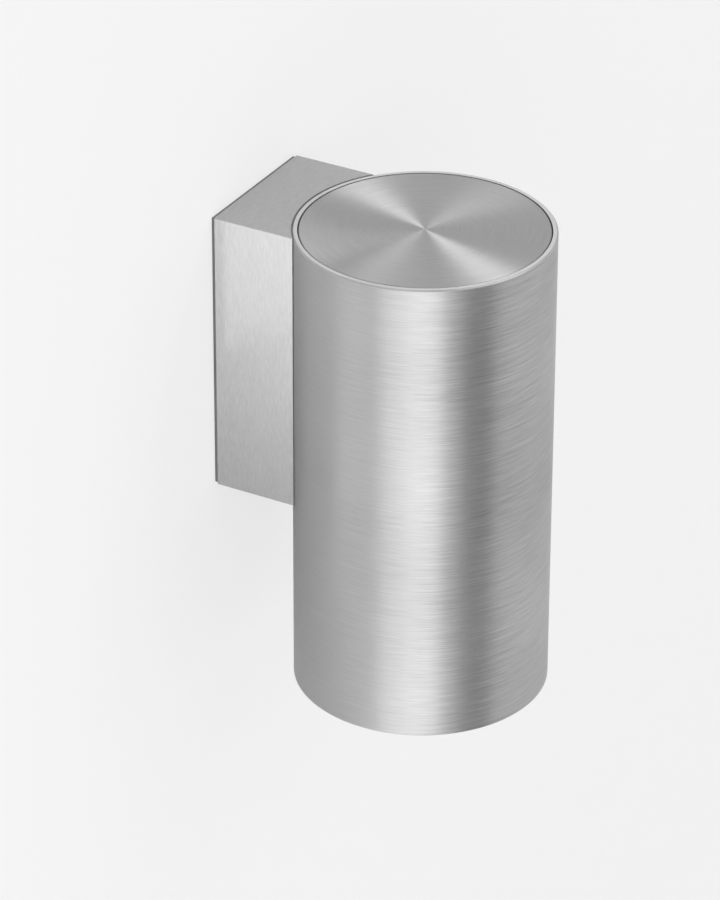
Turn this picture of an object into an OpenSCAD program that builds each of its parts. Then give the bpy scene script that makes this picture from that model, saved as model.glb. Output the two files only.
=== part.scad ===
// Cylindrical wall downlight on a rectangular wall box.
// The wall is the plane y = 0, the light stands out of it along -Y and +Z is up.
// The origin is the centre of the wall plate's two screw slots, on the wall.

/* [Tube] */
// Outer diameter of the tube
tube_d = 90; // [80:1:110]
// Length of the tube
tube_h = 174; // [150:1:220]
// Wall thickness of the tube
tube_wall = 1.8; // [1.5:0.1:3]
// Chamfer on the tube's outer rims
rim_chamfer = 0.5; // [0.2:0.1:1]

/* [Lid] */
// Thickness of the turned lid
lid_t = 4; // [3:0.5:6]
// Open groove round the lid
lid_gap = 0.4; // [0.3:0.1:1]
// Chamfer on the lid's edge
lid_chamfer = 0.3; // [0.1:0.1:0.6]
// Thickness of the lid's gasket
lid_gasket_t = 0.8; // [0.5:0.1:1.5]
// Thickness of the ring that the lid is screwed to
lid_seat_t = 2.5; // [2:0.5:4]
// Width of the ring that the lid is screwed to
lid_seat_w = 17; // [14:1:20]
// Number of lid screws
lid_screw_n = 3; // [3:1:6]

/* [Wall box] */
// Width of the box
box_w = 56; // [48:1:70]
// Height of the box
box_h = 104; // [88:1:122]
// Distance from the wall to the nearest point of the tube
box_reach = 22.5; // [17:0.5:30]
// Thickness of the box's sides, top and bottom
box_wall = 3; // [2.5:0.5:4]
// Thickness of the coped front at its middle
box_front = 4; // [3:0.5:6]
// Chamfer on the box's long edges
box_chamfer = 0.3; // [0.1:0.1:0.8]
// Width of the flat land inside the coped front
land_w = 36; // [34:1:40]
// Gap between the box and the tube, which the saddle gasket fills
saddle_gap = 0.3; // [0.3:0.1:0.8]
// Width of the saddle gasket's band
saddle_w = 4; // [3:0.5:6]
// Thickness of the gasket on the wall
wall_gasket_t = 1.4; // [0.8:0.1:2]
// Step of the wall gasket behind the box's edge
wall_gasket_step = 1.2; // [0.4:0.1:1.6]

/* [Wall bracket] */
// Sheet thickness of the bracket
bracket_t = 1.5; // [1:0.1:2]
// Depth of the bracket's two flanges
bracket_flange = 12; // [9:1:14]
// Sliding clearance between bracket and box on each side
bracket_fit = 0.3; // [0.2:0.1:0.6]
// Width of the wall slots
slot_w = 4.5; // [4:0.5:6]
// End to end length of the wall slots
slot_l = 10; // [8:1:12]
// Distance from a slot's middle to the bracket's end
slot_edge = 9.7; // [8:0.1:12]
// Distance of the bracket's side screws from its edge
side_edge = 9.7; // [8:0.1:12]
// Distance of the cable entry below the middle
entry_drop = 14; // [12:1:16]
// Bore of the cable grommet
grommet_bore_d = 9; // [7:0.5:10]
// Wall of the cable grommet
grommet_wall = 2.5; // [2:0.5:3]
// Width of the grommet's flange beyond its hole
grommet_flange = 1.5; // [1:0.5:2]
// Thickness of the grommet's flange
grommet_flange_t = 2; // [1:0.5:3]

/* [Terminal block] */
// Pitch of the poles
pole_pitch = 9; // [8:0.5:10]
// Height of the block
block_h = 16; // [14:1:20]
// Depth of the block
block_d = 9; // [8:0.5:11]
// Bore of a pole's clamp
clamp_bore_d = 3.2; // [3:0.1:3.6]
// Wall of a pole's clamp
clamp_wall = 0.8; // [0.5:0.1:1]
// Space for the bends of the cores above the block
core_bend = 2.5; // [2:0.5:4]

/* [Chassis] */
// Thickness of the curved strip behind the tube wall
strip_t = 3; // [2.5:0.5:4]
// Width of the curved strip
strip_w = 34; // [30:1:40]
// Thickness of the shelf
shelf_t = 3; // [2.5:0.5:4]
// Clearance of the inner pieces in the tube
inner_fit = 0.1; // [0.05:0.05:0.3]
// Distance of the fixing screws from the box's top and bottom
fixing_edge = 15; // [13:1:18]
// Bore of the bush that carries the cores into the tube
bush_bore_d = 6.8; // [6:0.1:8]
// Wall of the bush
bush_wall = 2; // [1.5:0.5:2.5]
// Width of the bush's flange
bush_flange = 2; // [1:0.5:3]
// Thickness of the bush's flange
bush_flange_t = 1.2; // [1:0.1:2]

/* [Driver] */
// Height of the driver's case
driver_h = 46; // [38:1:50]
// Depth of the driver's case
driver_d = 28; // [22:1:32]
// Clearance from the driver's foot to the tube
driver_clear = 6; // [4:1:8]
// Thickness of the driver's foot
driver_foot_t = 2; // [1.5:0.5:3]
// Length of each end of the foot
driver_foot_l = 8; // [7:1:9]
// Free height over the driver
driver_headroom = 12.7; // [10:0.1:16]

/* [Light engine] */
// Gap between the heat sink and the tube
sink_gap = 6.5; // [5:0.5:9]
// Number of fins
fin_n = 20; // [12:1:26]
// Thickness of a fin
fin_t = 1.6; // [1.2:0.1:2]
// Radius of the heat sink's core
core_r = 11; // [9:1:14]
// Thickness of the heat sink's upper plate
sink_top_t = 3; // [2.5:0.5:4]
// Thickness of the heat sink's lower plate
sink_base_t = 4; // [3:0.5:6]
// Radius of the LED board
board_r = 14; // [12:1:16]
// Thickness of the LED board
board_t = 1.6; // [1:0.1:2]
// Radius of the light-giving disc
emitter_r = 8; // [6:1:9]
// Thickness of the light-giving disc
emitter_t = 0.8; // [0.5:0.1:1]
// Width of the holder's ring beyond the board
holder_rim = 8; // [7:1:10]
// Thickness of the holder
holder_t = 4.3; // [3.8:0.1:5.5]
// Height of the reflector
reflector_h = 31; // [26:1:38]
// Wall of the reflector
reflector_wall = 1; // [0.8:0.1:1.5]
// Distance of the two leads from the tube's inner wall
lead_gap = 3.5; // [3:0.1:4]

/* [Glass and ring] */
// Open depth below the retaining ring
recess = 12; // [9:1:16]
// Height of the retaining ring
ring_h = 5; // [4:0.5:7]
// Width of the retaining ring and of the glass seat
ring_w = 7; // [6:0.5:8]
// Running clearance of the ring's thread
thread_fit = 0.06; // [0.03:0.01:0.1]
// Width of the ring's key notches
notch_w = 4; // [3:0.5:6]
// Depth of the ring's key notches
notch_d = 2; // [1.5:0.5:2.5]
// Thickness of the glass
glass_t = 3; // [2.5:0.5:4]
// Gap between the glass's edge and the tube
glass_gap = 3; // [2:0.5:4]
// Thickness of the gasket over the glass
glass_gasket_t = 1; // [0.5:0.1:2]
// Thickness of the seat over the glass
glass_seat_t = 3; // [2:0.5:4]

/* [Fasteners and cores] */
// Diameter of the M4 screws
m4_d = 4; // [4:0.1:5]
// Head diameter of the M4 screws
m4_head_d = 7; // [6:0.5:8]
// Head height of the M4 screws
m4_head_h = 2.5; // [2:0.1:3]
// Diameter of the M3 screws
m3_d = 3; // [2.5:0.1:3.5]
// Head diameter of the M3 screws
m3_head_d = 5.5; // [5:0.1:6]
// Head height of the M3 screws
m3_head_h = 2; // [1.5:0.1:2.5]
// Space between a screw's head and its neighbour
head_space = 1; // [0.5:0.1:2]
// Radial clearance round each screw
screw_fit = 0.05; // [0.02:0.01:0.2]
// Diameter of an insulated mains core
core_d = 2; // [1.6:0.1:2.4]
// Diameter of a low-voltage lead
lead_d = 1.4; // [1:0.1:1.8]

/* [Hidden] */
$fn = 96;

cut = 1;
tube_r = tube_d / 2;
bore_r = tube_r - tube_wall;
axis_y = box_reach + tube_r;

top_z = box_h / 2;
bottom_z = top_z - tube_h;

lid_z = top_z - lid_t;
lid_gasket_z = lid_z - lid_gasket_t;
lid_seat_z = lid_gasket_z - lid_seat_t;
lid_r = bore_r - lid_gap;
lid_screw_r = bore_r - 0.7 * lid_seat_w;

driver_top_z = lid_seat_z - driver_headroom;
foot_top_z = driver_top_z - driver_h;
shelf_top_z = foot_top_z - driver_foot_t;
shelf_z = shelf_top_z - shelf_t;
foot_half = sqrt(pow(bore_r - driver_clear, 2) - pow(driver_d / 2, 2));
case_half = foot_half - driver_foot_l;

ring_z = bottom_z + recess;
glass_z = ring_z + ring_h;
glass_gasket_z = glass_z + glass_t;
glass_seat_z = glass_gasket_z + glass_gasket_t;
reflector_z = glass_seat_z + glass_seat_t;
holder_z = reflector_z + reflector_h;
sink_z = holder_z + holder_t;
sink_h = shelf_z - sink_z;
sink_r = bore_r - sink_gap;
sink_screw_y = (driver_d / 2 + sink_r) / 2;
holder_r = board_r + holder_rim;
holder_screw_r = board_r + holder_rim / 2;
holder_pocket = board_t + 0.4;
aperture_r = emitter_r + 1.5;
mouth_r = bore_r - ring_w - reflector_wall;
ring_r = bore_r - thread_fit;
ring_inner_r = bore_r - ring_w;
glass_r = bore_r - glass_gap;

saddle_r = tube_r + saddle_gap;
coped_r = saddle_r + box_front;
land_y = coped_r - axis_y;
inner_w = box_w - 2 * box_wall;
inner_h = box_h - 2 * box_wall;
bracket_w = inner_w - 2 * bracket_fit;
bracket_h = inner_h - 2 * bracket_fit;
slot_z = bracket_h / 2 - slot_edge;
side_x = bracket_w / 2 - side_edge;
grub_y = -(bracket_t + bracket_flange) / 2;
grub_top = bracket_h / 2;
grommet_r = grommet_bore_d / 2 + grommet_wall;
bracket_earth_z = -entry_drop - grommet_r - grommet_flange - head_space - m4_head_d / 2;

fixing_z = top_z - fixing_edge;
bush_r = bush_bore_d / 2 + bush_wall;
bush_flange_r = bush_r + bush_flange;
bush_z = fixing_z - m4_head_d / 2 - bush_flange_r - head_space;
strip_r = bore_r - inner_fit;
strip_inner_r = strip_r - strip_t;
strip_top_z = lid_seat_z - 1.5;
strip_bottom_z = -top_z + 6;
fixing_end_y = -(axis_y - strip_inner_r) - 1.5;

block_w = 3 * pole_pitch + 1;
block_top_z = bush_z - bush_flange_r - core_bend;
block_z = block_top_z - block_h;
pole_y = land_y + block_d / 2 - 0.3;
clamp_r = clamp_bore_d / 2 + clamp_wall;
tag_x = land_w / 2 - 5;
tag_z = bush_z + 4;
tag_t = 0.8;
tag_barrel_y = land_y + 1.7;
tag_end_z = tag_z - 8;

core_x = bush_bore_d / 4 - 0.2;
lead_x = 2.5;
lead_y = -axis_y - sqrt(pow(bore_r - lead_gap, 2) - pow(lead_x, 2));
lead_run_z = sink_z - lead_d / 2 - 0.3;
case_front_y = -axis_y - driver_d / 2;
case_core_y = -axis_y + driver_d / 2 - 9;
bush_end_y = -(axis_y - strip_inner_r) - 1;

aluminium = [0.7, 0.7, 0.71];
zinc = [0.66, 0.67, 0.69];
steel = [0.55, 0.56, 0.58];
dark_rubber = [0.12, 0.12, 0.13];
grey_rubber = [0.3, 0.3, 0.3];
grey_foam = [0.46, 0.46, 0.46];
brass_tone = [0.78, 0.62, 0.32];

// Places the children on the tube's axis
module on_axis(z = 0) {
    translate([0, -axis_y, z]) children();
}

// Ring standing on the tube's axis
module ring(outer_r, inner_r, z, h) {
    on_axis(z) difference() {
        cylinder(r = outer_r, h = h);
        translate([0, 0, -cut]) cylinder(r = inner_r, h = h + 2 * cut);
    }
}

// Screw whose head stands on z = 0 and whose shank points down
module screw(d, head_d, head_h, length) {
    difference() {
        union() {
            cylinder(d = head_d, h = head_h);
            translate([0, 0, -length]) cylinder(d = d, h = length + head_h / 2);
        }
        translate([0, 0, head_h * 0.4]) cylinder(d = d * 0.75, h = head_h, $fn = 6);
    }
}

// Hole along Y from y_out, nearer the wall, to y_in
module hole_y(r, y_out, y_in) {
    translate([0, y_out, 0]) rotate([90, 0, 0]) cylinder(r = r, h = y_out - y_in);
}

// Turns a screw so that its shank points along -Y
module facing_wall() {
    rotate([-90, 0, 0]) children();
}

// Rounded tube along a list of points, as one closed solid
function unit(v) = v / norm(v);
function way(p, i) = unit(p[min(i + 1, len(p) - 1)] - p[max(i - 1, 0)]);
function side(t) = unit(cross(t, [1, 0, 0]));
function loop(p, i, r, n) = [for (k = [0:n - 1])
    let (t = way(p, i), u = side(t), v = cross(t, u), a = 360 * k / n)
        p[i] + r * (cos(a) * u + sin(a) * v)];
function skin(m, n) = [for (i = [0:m - 2], k = [0:n - 1], half = [0, 1])
    let (a = i * n + k, b = i * n + (k + 1) % n)
        half == 0 ? [a, b + n, b] : [a, a + n, b + n]];
module swept(p, d, n = 8) {
    m = len(p);
    points = [for (i = [0:m - 1]) each loop(p, i, d / 2, n)];
    first = [for (k = [1:n - 2]) [0, k, k + 1]];
    last = [for (k = [1:n - 2]) [(m - 1) * n, (m - 1) * n + k + 1, (m - 1) * n + k]];
    polyhedron(points = points, faces = concat(skin(m, n), first, last));
}

// Route of a mains core from its pole through the bush to the top of the driver
function core_route(pole_x, s) = [
    [pole_x, pole_y, block_top_z - 2],
    [pole_x, pole_y, block_top_z + 1.5],
    [pole_x * 0.8 + s * 0.4, pole_y, bush_z - 5.5],
    [pole_x * 0.35 + s, pole_y + 0.2, bush_z - 2.4],
    [s * (core_x + 0.1), pole_y - 2, bush_z],
    [s * core_x, land_y - 2, bush_z],
    [s * core_x, bush_end_y, bush_z],
    [s * (core_x + 0.3), bush_end_y - 7, bush_z + 1],
    [s * (core_x + 1), bush_end_y - 14, (bush_z + driver_top_z) / 2 + 2],
    [s * (core_x + 1.6), case_core_y + 10, driver_top_z + 4],
    [s * (core_x + 2), case_core_y + 4, driver_top_z + 6],
    [s * (core_x + 2), case_core_y + 0.6, driver_top_z + 5],
    [s * (core_x + 2), case_core_y, driver_top_z + 2.5],
    [s * (core_x + 2), case_core_y, driver_top_z]];

// Route of a low-voltage lead from the driver past the heat sink to the LED board
function lead_route(s) = [
    [s * lead_x, case_front_y, foot_top_z + 6],
    [s * lead_x, case_front_y - 4, foot_top_z + 6],
    [s * lead_x, (case_front_y + lead_y) / 2, foot_top_z + 5.2],
    [s * lead_x, lead_y + 4, foot_top_z + 3.2],
    [s * lead_x, lead_y + 1, foot_top_z],
    [s * lead_x, lead_y, shelf_top_z],
    [s * lead_x, lead_y, shelf_z - 4],
    [s * lead_x, lead_y, (shelf_z + sink_z) / 2],
    [s * lead_x, lead_y, sink_z + 3],
    [s * lead_x, lead_y + 0.6, sink_z + 0.5],
    [s * lead_x, lead_y + 2.4, lead_run_z],
    [s * lead_x, lead_y + 6, lead_run_z],
    [s * lead_x, (lead_y - axis_y - board_r) / 2, lead_run_z],
    [s * lead_x, -axis_y - board_r - 0.2, lead_run_z]];

// Bent steel plate on the wall, with a flange at the top and one at the bottom
module wall_bracket() {
    color(zinc) difference() {
        union() {
            translate([-bracket_w / 2, -bracket_t, -bracket_h / 2])
                cube([bracket_w, bracket_t, bracket_h]);
            for (z = [-bracket_h / 2, bracket_h / 2 - bracket_t])
                translate([-bracket_w / 2, -bracket_t - bracket_flange + bracket_t, z])
                    cube([bracket_w, bracket_flange, bracket_t]);
        }
        for (z = [-slot_z, slot_z]) translate([0, 0, z]) slot();
        translate([0, 0, -entry_drop]) hole_y(grommet_r + screw_fit, cut, -bracket_t - cut);
        translate([side_x, 0, bracket_earth_z]) hole_y(m4_d / 2 + screw_fit, cut, -bracket_t - cut);
    }
}

// Upright slot through the wall plate
module slot() {
    straight = slot_l - slot_w;
    for (z = [-straight / 2, straight / 2])
        translate([0, 0, z]) hole_y(slot_w / 2, cut, -bracket_t - cut);
    translate([-slot_w / 2, -bracket_t - cut, -straight / 2])
        cube([slot_w, bracket_t + 2 * cut, straight]);
}

// Soft bush in the wall plate for the supply cable
module cable_grommet() {
    color(dark_rubber) translate([0, 0, -entry_drop]) difference() {
        union() {
            hole_y(grommet_r, 0, -bracket_t - grommet_flange_t / 2);
            hole_y(grommet_r + grommet_flange, -bracket_t, -bracket_t - grommet_flange_t);
        }
        hole_y(grommet_bore_d / 2, cut, -bracket_t - grommet_flange_t - cut);
    }
}

// Screw for the installer's earth core on the wall plate
module bracket_earth_screw() {
    color(brass_tone) translate([side_x, -bracket_t, bracket_earth_z])
        rotate([90, 0, 0]) screw(m4_d, m4_head_d, m4_head_h, bracket_t);
}

// Open-backed box, coped to the tube at its front
module wall_box() {
    color(aluminium) difference() {
        box_outline(-wall_gasket_t, -axis_y + 1);
        on_axis(-box_h) cylinder(r = saddle_r, h = 2 * box_h, $fn = 180);
        box_cavity();
        for (z = [-fixing_z, fixing_z])
            translate([0, 0, z]) hole_y(m4_d / 2 + screw_fit, land_y + cut, -axis_y);
        translate([0, 0, bush_z]) hole_y(bush_r + screw_fit, land_y + cut, -axis_y);
        translate([tag_x, 0, tag_z]) hole_y(m4_d / 2 + screw_fit, land_y + cut, land_y - 4.2);
        for (x = [-pole_pitch / 2, pole_pitch / 2])
            translate([x, 0, block_z + block_h / 2])
                hole_y(m3_d / 2 + screw_fit, land_y + cut, land_y - 3);
        for (x = [-side_x, side_x])
            translate([x, grub_y, -top_z - cut])
                cylinder(d = m4_d + 2 * screw_fit, h = box_wall + 2 * cut);
    }
}

// Outline of the box in the XZ plane with chamfered corners, from y_out to y_in
module box_outline(y_out, y_in) {
    w = box_w / 2;
    h = box_h / 2;
    c = box_chamfer;
    translate([0, y_out, 0]) rotate([90, 0, 0]) linear_extrude(y_out - y_in)
        polygon([[-w + c, -h], [w - c, -h], [w, -h + c], [w, h - c],
            [w - c, h], [-w + c, h], [-w, h - c], [-w, -h + c]]);
}

// Space in the box, with a flat land down the middle of its front
module box_cavity() {
    difference() {
        translate([-inner_w / 2, -axis_y + saddle_r * 0.6, -inner_h / 2])
            cube([inner_w, axis_y - saddle_r * 0.6 + cut, inner_h]);
        on_axis(-box_h) cylinder(r = coped_r, h = 2 * box_h, $fn = 180);
        translate([-land_w / 2, land_y - coped_r, -box_h])
            cube([land_w, coped_r, 2 * box_h]);
    }
}

// Foam frame on the box's back rim, set in from its edge, between the box and the wall
module wall_gasket() {
    w = box_w - 2 * wall_gasket_step;
    h = box_h - 2 * wall_gasket_step;
    color(grey_foam) translate([0, -wall_gasket_t, 0]) difference() {
        translate([-w / 2, 0, -h / 2]) cube([w, wall_gasket_t, h]);
        translate([-inner_w / 2, -cut, -inner_h / 2])
            cube([inner_w, wall_gasket_t + 2 * cut, inner_h]);
    }
}

// Two hexagon socket screws under the box that grip the bracket's lower flange
module grub_screws() {
    length = box_wall + bracket_fit - 0.4;
    color(steel) for (x = [-side_x, side_x])
        translate([x, grub_y, -grub_top - length]) difference() {
            cylinder(d = m4_d, h = length);
            translate([0, 0, -cut]) cylinder(d = m4_d / 2, h = length * 0.6 + cut, $fn = 6);
        }
}

// Thin seal between the coped front and the tube
module saddle_gasket() {
    edge = 0.2;
    w = box_w - 2 * edge;
    h = box_h - 2 * edge;
    color(grey_rubber) difference() {
        intersection() {
            on_axis(-h / 2) difference() {
                cylinder(r = saddle_r - 0.05, h = h, $fn = 180);
                translate([0, 0, -cut]) cylinder(r = tube_r + 0.05, h = h + 2 * cut, $fn = 180);
            }
            translate([-w / 2, -axis_y, -h / 2]) cube([w, axis_y, h]);
        }
        translate([-w / 2 + saddle_w, -axis_y, -h / 2 + saddle_w])
            cube([w - 2 * saddle_w, axis_y, h - 2 * saddle_w]);
    }
}

// Two screws from the box through the tube into the chassis
module fixing_screws() {
    color(steel) for (z = [-fixing_z, fixing_z])
        translate([0, land_y, z])
            facing_wall() screw(m4_d, m4_head_d, m4_head_h, land_y - fixing_end_y);
}

// Soft bush that carries the cores from the box into the tube
module wire_bush() {
    color(dark_rubber) translate([0, 0, bush_z]) difference() {
        union() {
            hole_y(bush_r, land_y + bush_flange_t / 2, bush_end_y);
            hole_y(bush_flange_r, land_y + bush_flange_t, land_y);
        }
        hole_y(bush_bore_d / 2, land_y + bush_flange_t + cut, bush_end_y - cut);
    }
}

// Three-pole block screwed to the land in the box
module terminal_block() {
    color("ivory") difference() {
        translate([-block_w / 2, land_y, block_z]) cube([block_w, block_d, block_h]);
        for (i = [-1:1]) {
            translate([i * pole_pitch, pole_y, block_z - cut])
                cylinder(r = clamp_r + screw_fit, h = block_h + 2 * cut);
            for (z = [0.25, 0.75])
                translate([i * pole_pitch, 0, block_z + block_h * z])
                    hole_y(clamp_r * 0.6 + screw_fit, land_y + block_d + cut, pole_y);
        }
        for (x = [-pole_pitch / 2, pole_pitch / 2])
            translate([x, 0, block_z + block_h / 2]) {
                hole_y(m3_d / 2 + screw_fit, land_y + block_d + cut, land_y - cut);
                hole_y(m3_head_d / 2 + screw_fit, land_y + block_d + cut,
                    land_y + block_d - m3_head_h);
            }
    }
}

// Brass clamp of each pole with its two screws
module terminal_clamps() {
    color(brass_tone) for (i = [-1:1])
        translate([i * pole_pitch, 0, 0]) difference() {
            union() {
                translate([0, pole_y, block_z + 0.5]) cylinder(r = clamp_r, h = block_h - 1);
                for (z = [0.25, 0.75])
                    translate([0, 0, block_z + block_h * z])
                        hole_y(clamp_r * 0.6, land_y + block_d - 0.5, pole_y);
            }
            translate([0, pole_y, block_z]) cylinder(d = clamp_bore_d, h = block_h);
        }
}

// Two screws that hold the terminal block
module terminal_screws() {
    seat_y = land_y + block_d - m3_head_h;
    color(steel) for (x = [-pole_pitch / 2, pole_pitch / 2])
        translate([x, seat_y, block_z + block_h / 2])
            facing_wall() screw(m3_d, m3_head_d, m3_head_h - 0.2, seat_y - land_y + 2.8);
}

module live_core() {
    color("sienna") swept(core_route(-pole_pitch, -1), core_d);
}

module neutral_core() {
    color("royalblue") swept(core_route(0, 1), core_d);
}

// Core from the earth pole to the tag on the box
module earth_core() {
    color("yellowgreen") swept([
        [pole_pitch, pole_y, block_top_z - 2],
        [pole_pitch, pole_y, block_top_z + 1.5],
        [(pole_pitch * 2 + tag_x) / 3, pole_y - 0.4, block_top_z + 3],
        [tag_x - 0.5, (pole_y + tag_barrel_y) / 2 - 0.6, tag_end_z - 2.2],
        [tag_x, tag_barrel_y, tag_end_z - 1],
        [tag_x, tag_barrel_y, tag_end_z]], core_d);
}

// Ring terminal crimped on the earth core
module earth_tag() {
    color(zinc) difference() {
        union() {
            translate([tag_x, 0, tag_z]) hole_y(m4_head_d / 2, land_y + tag_t, land_y);
            translate([tag_x - 1.5, land_y, tag_z - 6]) cube([3, tag_t, 6]);
            translate([tag_x, tag_barrel_y, tag_end_z]) cylinder(d = core_d + 1, h = 3.5);
        }
        translate([tag_x, 0, tag_z]) hole_y(m4_d / 2 + screw_fit, land_y + tag_t + cut, land_y - cut);
    }
}

module earth_screw() {
    color(brass_tone) translate([tag_x, land_y + tag_t, tag_z])
        facing_wall() screw(m4_d, m4_head_d, m4_head_h, tag_t + 4);
}

// Seamless round tube, open at both ends
module tube() {
    c = rim_chamfer;
    color(aluminium) difference() {
        on_axis() rotate_extrude($fn = 180)
            polygon([[bore_r, bottom_z], [tube_r - c, bottom_z], [tube_r, bottom_z + c],
                [tube_r, top_z - c], [tube_r - c, top_z], [bore_r, top_z]]);
        for (z = [-fixing_z, fixing_z])
            translate([0, 0, z]) hole_y(m4_d / 2 + screw_fit, land_y, -axis_y);
        translate([0, 0, bush_z]) hole_y(bush_r + screw_fit, land_y, -axis_y);
    }
}

// Turned disc that closes the tube, flush with its rim
module lid() {
    c = lid_chamfer;
    color(aluminium) difference() {
        union() {
            on_axis() rotate_extrude($fn = 180)
                polygon([[0, lid_z], [lid_r, lid_z], [lid_r, top_z - c],
                    [lid_r - c, top_z], [0, top_z]]);
            lid_screw_places(lid_gasket_z) cylinder(d = m3_head_d + 2, h = lid_gasket_t + 0.1);
        }
        lid_screw_places(lid_gasket_z - cut)
            cylinder(d = m3_d + 2 * screw_fit, h = cut + lid_gasket_t + lid_t * 0.6);
    }
}

// Repeats the children at each lid screw
module lid_screw_places(z) {
    on_axis(z) for (i = [0:lid_screw_n - 1])
        rotate(30 + i * 360 / lid_screw_n) translate([lid_screw_r, 0, 0]) children();
}

module lid_gasket() {
    color(dark_rubber) ring(lid_r, lid_screw_r + m3_head_d / 2 + 1.5, lid_gasket_z, lid_gasket_t);
}

// Ring bonded into the tube, which the lid is screwed to from below
module lid_seat() {
    color(aluminium) difference() {
        ring(strip_r, bore_r - lid_seat_w, lid_seat_z, lid_seat_t);
        lid_screw_places(lid_seat_z - cut)
            cylinder(d = m3_d + 2 * screw_fit, h = lid_seat_t + 2 * cut);
    }
}

module lid_screws() {
    length = lid_seat_t + lid_gasket_t + lid_t * 0.5;
    color(steel) lid_screw_places(lid_seat_z)
        mirror([0, 0, 1]) screw(m3_d, m3_head_d, m3_head_h, length);
}

// Curved strip against the tube's back wall with the shelf that carries driver and heat sink
module chassis() {
    color(zinc) difference() {
        union() {
            intersection() {
                ring(strip_r, strip_inner_r, strip_bottom_z, strip_top_z - strip_bottom_z);
                translate([-strip_w / 2, -axis_y, -box_h]) cube([strip_w, axis_y, 2 * box_h]);
            }
            on_axis(shelf_z) cylinder(r = strip_r - 0.2, h = shelf_t);
        }
        for (z = [-fixing_z, fixing_z])
            translate([0, 0, z]) hole_y(m4_d / 2 + screw_fit, land_y, fixing_end_y - 0.5);
        translate([0, 0, bush_z]) hole_y(bush_r + screw_fit, land_y, bush_end_y - 0.5);
        for (s = [-1, 1]) {
            translate([s * lead_x, lead_y, shelf_z - cut]) cylinder(d = lead_d + 0.8, h = shelf_t + 2 * cut);
            on_axis(shelf_z - cut) translate([0, s * sink_screw_y, 0])
                cylinder(d = m4_d + 2 * screw_fit, h = shelf_t + 2 * cut);
            on_axis(shelf_z - cut) translate([s * (foot_half - driver_foot_l / 2), 0, 0])
                cylinder(d = m3_d + 2 * screw_fit, h = shelf_t + 2 * cut);
        }
    }
}

// Constant-current driver in its case, standing on a foot
module driver() {
    half = driver_d / 2;
    color("whitesmoke") on_axis() difference() {
        union() {
            translate([-foot_half, -half, shelf_top_z]) cube([2 * foot_half, driver_d, driver_foot_t]);
            translate([0, 0, shelf_top_z]) linear_extrude(driver_top_z - shelf_top_z)
                polygon([[-case_half + 2, -half], [case_half - 2, -half], [case_half, -half + 2],
                    [case_half, half - 2], [case_half - 2, half], [-case_half + 2, half],
                    [-case_half, half - 2], [-case_half, -half + 2]]);
        }
        for (s = [-1, 1])
            translate([s * (foot_half - driver_foot_l / 2), 0, shelf_top_z - cut])
                cylinder(d = m3_d + 2 * screw_fit, h = driver_foot_t + 2 * cut);
    }
}

module driver_screws() {
    color(steel) on_axis(foot_top_z) for (s = [-1, 1])
        translate([s * (foot_half - driver_foot_l / 2), 0, 0])
            screw(m3_d, m3_head_d, m3_head_h, driver_foot_t + shelf_t - 0.2);
}

// Finned heat sink hung under the shelf
module heat_sink() {
    color(steel) on_axis() difference() {
        union() {
            translate([0, 0, sink_z]) cylinder(r = sink_r, h = sink_base_t);
            translate([0, 0, shelf_z - sink_top_t]) cylinder(r = sink_r, h = sink_top_t);
            translate([0, 0, sink_z]) cylinder(r = core_r, h = sink_h);
            for (i = [0:fin_n - 1])
                rotate((i + 0.5) * 360 / fin_n) translate([core_r / 2, -fin_t / 2, sink_z + 0.5])
                    cube([sink_r - core_r / 2 - 0.3, fin_t, sink_h - 1]);
        }
        for (s = [-1, 1])
            translate([0, s * sink_screw_y, shelf_z - sink_top_t - cut])
                cylinder(d = m4_d + 2 * screw_fit, h = sink_top_t + 2 * cut);
        holder_screw_places(sink_z - cut)
            cylinder(d = m3_d + 2 * screw_fit, h = sink_base_t * 0.75 + cut);
    }
}

module heat_sink_screws() {
    color(steel) on_axis(shelf_top_z) for (s = [-1, 1])
        translate([0, s * sink_screw_y, 0])
            screw(m4_d, m4_head_d, m4_head_h, shelf_t + sink_top_t - 0.2);
}

// Repeats the children at each holder screw, measured from the tube's axis
module holder_screw_places(z) {
    for (i = [0:2])
        rotate(90 + i * 120) translate([holder_screw_r, 0, z]) children();
}

module led_board() {
    color("white") on_axis(sink_z - board_t) cylinder(r = board_r, h = board_t);
}

module led_emitter() {
    color("gold") on_axis(sink_z - board_t - emitter_t) cylinder(r = emitter_r, h = emitter_t);
}

// Ring that clamps the board to the heat sink
module led_holder() {
    color("whitesmoke") on_axis() difference() {
        translate([0, 0, holder_z]) cylinder(r = holder_r, h = holder_t);
        translate([0, 0, holder_z - cut]) cylinder(r = aperture_r, h = holder_t + 2 * cut);
        translate([0, 0, sink_z - board_t]) cylinder(r = board_r + 0.2, h = board_t + cut);
        translate([-lead_x - lead_d, -holder_r - cut, sink_z - holder_pocket])
            cube([2 * (lead_x + lead_d), holder_r - board_r + 2 * cut, holder_pocket + cut]);
        holder_screw_places(holder_z - cut)
            cylinder(d = m3_d + 2 * screw_fit, h = holder_t + 2 * cut);
    }
}

module holder_screws() {
    color(steel) on_axis() holder_screw_places(holder_z)
        mirror([0, 0, 1]) screw(m3_d, m3_head_d, m3_head_h, holder_t + sink_base_t * 0.7);
}

module positive_lead() {
    color("firebrick") swept(lead_route(1), lead_d);
}

module negative_lead() {
    color([0.1, 0.1, 0.1]) swept(lead_route(-1), lead_d);
}

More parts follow.
